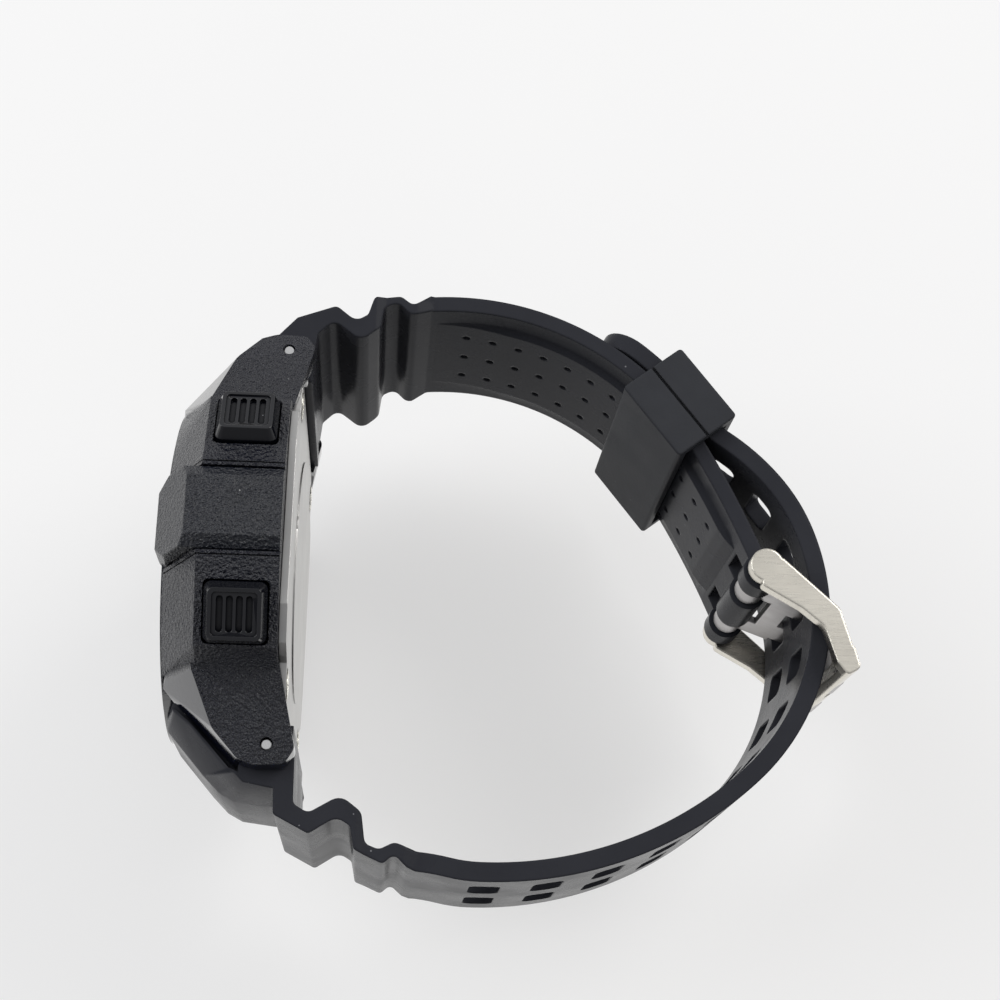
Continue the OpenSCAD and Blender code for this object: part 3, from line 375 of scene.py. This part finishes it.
def finish_of(name):
    """The finish of a node: buttons by their last word, all else by the longest matching start."""
    if name.startswith("pusher_") and name[7].isdigit():
        return {"cap": button_resin, "stem": bar_steel, "clip": spring_wire,
                "spring": spring_wire}[name.split("_")[-1]]
    starts = [start for start in FINISHES if name.startswith(start)]
    return FINISHES[max(starts, key=len)]


for name, node in frame["nodes"].items():
    node.data.materials.clear()
    node.data.materials.append(finish_of(name))
print("dressed", len(frame["nodes"]), "nodes")

# %% [markdown]
# ## Rounded edges
# No moulded or stamped edge is perfectly sharp: each catches a thin line of light, and that line
# tells the eye how big the piece is. A CAD mesh is loose triangles, so a copy of it is merged
# into one skin first, its flat faces are joined, and faces that meet at a small angle are shaded
# as one. The bezel, the keeper, the prongs and the tips of the bars then get a Bevel modifier. On
# the others, whose fillets are finer than the bevel, that modifier would tear faces, so their
# materials round the edges with the Bevel node instead, and a Weighted Normal modifier keeps
# their large flat faces evenly shaded up to the rim. The case back keeps its triangles and a much
# smaller angle: joining its flat round the disc would spoil the shading. The hood of the hole
# strap is soft, so its facets blend.

# %% Merged copies with rounded edges
MERGE_WITHIN = 0.002 * MM
FLAT_BELOW = np.radians(0.6)
BEVEL_ABOVE = np.radians(30)


def body_of(node_name):
    """The body that a node belongs to."""
    for body, names in frame["record"]["behaviour"]["bodies"].items():
        if node_name in names:
            return body


def skin_of(node_name, smooth, width, weight=90):
    """A merged copy of a node, shaded smooth below an angle, its edges bevelled by a width in mm.
    With no width, a weight of 90 keeps flat faces evenly shaded, and one of 50 lets them blend."""
    mesh = frame["nodes"][node_name].data.copy()
    form = bmesh.new()
    form.from_mesh(mesh)
    bmesh.ops.remove_doubles(form, verts=form.verts, dist=MERGE_WITHIN)
    if node_name != "case_back":
        bmesh.ops.dissolve_limit(form, angle_limit=FLAT_BELOW, verts=form.verts,
                                 edges=form.edges)
    form.to_mesh(mesh)
    form.free()
    piece = bpy.data.objects.new(node_name + "_skin", mesh)
    bpy.context.scene.collection.objects.link(piece)
    mesh.shade_smooth()
    mesh.set_sharp_from_angle(angle=np.radians(smooth))
    if width:
        bevel = piece.modifiers.new("edges", "BEVEL")
        bevel.width = width * MM
        bevel.segments = 2
        bevel.limit_method = "ANGLE"
        bevel.angle_limit = BEVEL_ABOVE
        bevel.use_clamp_overlap = False
        bevel.harden_normals = True
    else:
        steady = piece.modifiers.new("flat faces stay flat", "WEIGHTED_NORMAL")
        steady.weight = weight
        steady.keep_sharp = True
    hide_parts(node_name)
    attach(piece, body_of(node_name))
    return piece


SKINS = {
    "case_body": (14, 0), "bezel": (14, 0.1), "strap_upper": (14, 0), "strap_lower": (40, 0, 50),
    "keeper": (14, 0.17), "buckle_frame": (20, 0), "buckle_prongs": (20, 0.12),
    "case_back": (1, 0), "pusher_2_cap": (14, 0), "pusher_4_cap": (14, 0), "pusher_8_cap": (14, 0),
    "pusher_10_cap": (14, 0), "upper_bar_tip": (20, 0.12), "lower_bar_tip": (20, 0.12),
    "buckle_bar": (20, 0), "upper_bar_tube": (20, 0), "lower_bar_tube": (20, 0),
}
skins = {name: skin_of(name, *how) for name, how in SKINS.items()}
print("skins", {name: len(piece.data.polygons) for name, piece in skins.items()})

# %% [markdown]
# ## Printing on the dial
# The dial mask is a printed film with a window over the liquid crystal. Sixty fine strokes, one
# for each minute, stand round the window, and a thin line frames it. The ink is a real layer
# here, three hundredths of a millimetre thick, so it shows in every renderer.

# %% A helper for thin printed shapes
def printed(name, outlines, front, thickness, material):
    """Plates of ink. Every outline is a convex ring of (y, z) points in mm; a plate is the ring at
    x = front, the same ring at x = front + thickness, the two lids, and a wall from each side."""
    rings = np.asarray(outlines, dtype=float)
    count, corners = rings.shape[0], rings.shape[1]
    turn = np.roll(rings, -1, axis=1)
    area = (rings[:, :, 0] * turn[:, :, 1] - turn[:, :, 0] * rings[:, :, 1]).sum(axis=1)
    rings = np.where((area > 0)[:, None, None], rings, rings[:, ::-1])
    depth = np.array([front, front + thickness])
    points = np.empty((count, 2, corners, 3))
    points[..., 0] = depth[None, :, None]
    points[..., 1:] = rings[:, None]
    points = case_middle + points.reshape(-1, 3) * MM
    first = (np.arange(count) * 2 * corners)[:, None]
    along = np.arange(corners)
    back_lid = first + corners + along
    front_lid = first + along[::-1]
    after = np.roll(along, -1)
    walls = np.stack([along, after, after + corners, along + corners], axis=1)
    walls = (first[:, :, None] + walls[None]).reshape(-1, 4)
    mesh = bpy.data.meshes.new(name)
    mesh.from_pydata(points.tolist(), [], front_lid.tolist() + back_lid.tolist() + walls.tolist())
    mesh.materials.append(material)
    piece = bpy.data.objects.new(name, mesh)
    bpy.context.scene.collection.objects.link(piece)
    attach(piece, "watch_head")
    return piece


print("ready to print")

# %% Minute strokes and window line
INK = 0.03
STROKE_OUTER, STROKE_INNER, FIVE_INNER = 12.7, 12.0, 11.5
STROKE_WIDE, FIVE_WIDE = 0.06, 0.12
mask_front = (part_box("dial_mask")[0][0] - case_middle[0]) / MM
white_ink = clouded("white_ink", (0.62, 0.63, 0.62), 0.45, 900.0, 0.9)


def stroke(angle, inner, outer, wide):
    """A rectangle from the inner to the outer radius, turned by an angle; wide is half its width."""
    box = np.array([[inner, -wide], [outer, -wide], [outer, wide], [inner, wide]])
    turn = np.array([[np.cos(angle), np.sin(angle)], [-np.sin(angle), np.cos(angle)]])
    return box @ turn


def minute_stroke(minute):
    """The stroke of one minute: each fifth is longer and twice as wide."""
    inner, wide = (STROKE_INNER, STROKE_WIDE) if minute % 5 else (FIVE_INNER, FIVE_WIDE)
    return stroke(minute * np.pi / 30, inner, STROKE_OUTER, wide)


strokes = [minute_stroke(minute) for minute in range(60)]
line_y, line_z, line_wide = 5.95, 9.75, 0.1
window_line = [
    [[s * line_y - line_wide, -line_z], [s * line_y + line_wide, -line_z],
     [s * line_y + line_wide, line_z], [s * line_y - line_wide, line_z]] for s in (-1, 1)
] + [
    [[-line_y - line_wide, s * line_z - line_wide], [line_y + line_wide, s * line_z - line_wide],
     [line_y + line_wide, s * line_z + line_wide], [-line_y - line_wide, s * line_z + line_wide]]
    for s in (-1, 1)
]
printed("minute_strokes", strokes, mask_front - INK, INK, white_ink)
printed("window_line", window_line, mask_front - INK, INK, white_ink)
print("strokes", len(strokes))

# %% [markdown]
# ## The figures on the display
# A liquid crystal figure is seven bars with pointed ends. One table says which bars each figure
# lights, one function makes a bar as a hexagon, and a slant leans the figures as usual. The time
# is in large figures with the seconds smaller beside it, and the date stands above.

# %% Seven-segment figures
BARS = {
    "top": (0, 1, 1, 1), "upper_right": (1, 0.5, 1, 1), "lower_right": (1, 0, 1, 0.5),
    "bottom": (0, 0, 1, 0), "lower_left": (0, 0, 0, 0.5), "upper_left": (0, 0.5, 0, 1),
    "middle": (0, 0.5, 1, 0.5),
}
LIT = {
    "0": "top upper_right lower_right bottom lower_left upper_left",
    "1": "upper_right lower_right",
    "3": "top upper_right middle lower_right bottom",
    "6": "top upper_left middle lower_left lower_right bottom",
    "8": "top upper_right lower_right bottom lower_left upper_left middle", "-": "middle",
}
SLANT = 0.1
BAR_GAP = 0.06


def bar(start, end, thick, gap):
    """A hexagon from start to end: both ends pulled in by gap, and pointed over half the thickness.
    Its corners are start + a x the way ahead + b x the way aside, for six pairs (a, b)."""
    start, end = np.array(start), np.array(end)
    length = np.linalg.norm(end - start)
    ahead = (end - start) / length
    side = np.array([-ahead[1], ahead[0]])
    near, far, half = gap, length - gap, thick / 2
    steps = [(near, 0), (near + half, half), (far - half, half), (far, 0), (far - half, -half),
             (near + half, -half)]
    return np.array([start + ahead * a + side * b for a, b in steps])


def figure(sign, left, base, wide, high, thick):
    """The lit bars of one figure, as (y, z) hexagons; z grows with y by the slant."""
    bars = [BARS[name] for name in LIT[sign].split()]
    rings = np.array([bar((z0 * wide, y0 * high), (z1 * wide, y1 * high), thick, BAR_GAP)
                      for z0, y0, z1, y1 in bars])
    along, up = rings[..., 0], rings[..., 1]
    return np.stack([base + up, left + along + SLANT * up], axis=-1)


def dot(left, base, size, high):
    """A square dot, drawn with six corners so that it can be printed with the bars."""
    ring = np.array([[0, 0], [size / 2, 0], [size, 0], [size, size], [size / 2, size], [0, size]])
    up = high + ring[:, 1]
    return np.stack([base + up, left + ring[:, 0] + SLANT * up], axis=-1)


TIME_BASE, DATE_BASE, COLON_LEFT, COLON_SIZE = -4.3, 2.1, -1.35, 0.5
rings = []
for sign, left in zip("1008", (-8.2, -4.75, 0.15, 3.6)):
    rings.extend(figure(sign, left, TIME_BASE, wide=2.3, high=5.0, thick=0.55))
for sign, left in zip("36", (6.65, 7.9)):
    rings.extend(figure(sign, left, TIME_BASE, wide=0.8, high=2.2, thick=0.26))
for sign, left in zip("6-30", (-0.2, 2.2, 4.3, 6.4)):
    rings.extend(figure(sign, left, DATE_BASE, wide=1.35, high=2.5, thick=0.34))
rings.extend([dot(COLON_LEFT, TIME_BASE, COLON_SIZE, high) for high in (1.2, 3.3)])
lcd_front = (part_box("lcd_panel")[0][0] - case_middle[0]) / MM
lcd_ink = clouded("lcd_ink", (0.018, 0.02, 0.022), 0.3, 900.0, 0.85)
printed("display_figures", rings, lcd_front - INK, INK, lcd_ink)
print("lit bars and dots", len(rings))

# %% [markdown]
# ## Floor, light and camera
# The watch lies on a pale table under soft light from above. To the camera and in reflections the
# floor glows a little, so it reads nearly white without more light on the watch, and the other
# part of it is a plain surface that takes the shadow. The camera's place and directions were
# solved from the corners of the watch in the photograph. The world is darker towards six o'clock,
# as the side of a room away from a window is, and one pale tone where the camera sees it past the
# floor.

# %% Floor
FLOOR_HALF = 1.2
GLOW_SEEN, GLOW_MIRRORED = 0.56, 0.85


def seen_or_mirrored(tree, seen, mirrored):
    """One share for a ray from the camera, another from a reflection or through glass, else 0."""
    rays = put(tree, "LightPath").outputs
    indirect = maths(tree, "MAXIMUM", rays["Is Glossy Ray"], rays["Is Transmission Ray"])
    from_gloss = maths(tree, "MULTIPLY", indirect, mirrored)
    from_camera = maths(tree, "MULTIPLY", rays["Is Camera Ray"], seen)
    return maths(tree, "MAXIMUM", from_camera, from_gloss)


def pale_floor():
    """A large plane at the lowest point of the watch, with a very soft unevenness in its tone."""
    mesh = bpy.data.meshes.new("floor")
    corners = FLOOR_HALF * np.array([(-1, -1, 0), (1, -1, 0), (1, 1, 0), (-1, 1, 0)])
    mesh.from_pydata(corners.tolist(), [], [(0, 1, 2, 3)])
    floor = bpy.data.objects.new("floor", mesh)
    bpy.context.scene.collection.objects.link(floor)
    material, tree = new_material("pale_table")
    noise = clouds(tree, place(tree), 6.0, 2.0)
    tint = ramp(tree, noise, [(0.3, (0.8, 0.8, 0.805)), (0.7, (0.84, 0.84, 0.838))])
    plain = put(tree, "BsdfPrincipled", {"Base Color": tint, "Roughness": 0.75,
                                         "Specular IOR Level": 0.1})
    glow = put(tree, "Emission", {"Color": (0.985, 0.98, 0.973, 1), "Strength": 1.0})
    share = seen_or_mirrored(tree, GLOW_SEEN, GLOW_MIRRORED)
    surface(tree, put(tree, "MixShader", {0: share, 1: plain.outputs[0], 2: glow.outputs[0]}))
    mesh.materials.append(material)


pale_floor()
print("floor", 2 * FLOOR_HALF, "m wide at z = 0")

# %% Light
LIT_PLACE = Vector((0, 0, 0.02))
FAR_WALL, NEAR_WALL, SKY_SEEN = (0.2, 0.2, 0.21), (0.6, 0.605, 0.62), (0.9, 0.9, 0.9, 1)


def soft_box(name, where, width, depth, power, colour):
    """A rectangular lamp at a place, turned to face the middle of the watch."""
    light = bpy.data.lights.new(name, "AREA")
    light.shape = "RECTANGLE"
    light.size, light.size_y = width, depth
    light.energy = power
    light.color = colour
    lamp = bpy.data.objects.new(name, light)
    lamp.location = where
    lamp.rotation_euler = (LIT_PLACE - Vector(where)).to_track_quat("-Z", "Y").to_euler()
    bpy.context.scene.collection.objects.link(lamp)


soft_box("window", (0.5, 0.35, 0.5), width=0.5, depth=0.4, power=3.0, colour=(1.0, 0.985, 0.96))
soft_box("wall", (-0.6, 0.2, 0.45), width=0.6, depth=0.4, power=3.0, colour=(0.97, 0.985, 1.0))
world = bpy.data.worlds.new("studio")
bpy.context.scene.world = world
world.use_nodes = True
world.node_tree.nodes.clear()
room = world.node_tree
heading = put(room, "SeparateXYZ", {"Vector": put(room, "TexCoord").outputs["Generated"]})
nearness = spread(room, heading.outputs["Y"], 0.0, 1.0, -1.0, 0.3)
walls = ramp(room, nearness, [(0.0, FAR_WALL), (1.0, NEAR_WALL)])
straight = put(room, "LightPath").outputs["Is Camera Ray"]
shown = put(room, "MixRGB", {"Fac": straight, "Color1": walls, "Color2": SKY_SEEN})
sky = put(room, "Background", {"Color": shown.outputs["Color"], "Strength": 1.0})
put(room, "OutputWorld", {"Surface": sky.outputs[0]})
bpy.context.scene.view_settings.view_transform = "Standard"

# %% Camera
eye = Vector(at(10.0797, -51.2184, 172.968))
ahead = Vector((0.06536, 0.33217, -0.94095)).normalized()
across = Vector((0.99717, 0.01342, 0.07400)).normalized()
up = across.cross(ahead).normalized()
LENS_PIXELS, PICTURE_PIXELS, SENSOR = 1740.3, 1000, 36.0
camera_data = bpy.data.cameras.new("camera")
camera_data.sensor_width = SENSOR
camera_data.lens = SENSOR * LENS_PIXELS / PICTURE_PIXELS
camera_data.clip_start = 0.01
camera = bpy.data.objects.new("camera", camera_data)
camera.matrix_world = Matrix.Translation(eye) @ Matrix((across, up, -ahead)).transposed().to_4x4()
bpy.context.scene.collection.objects.link(camera)
bpy.context.scene.camera = camera
print("lens in mm", round(camera_data.lens, 2))
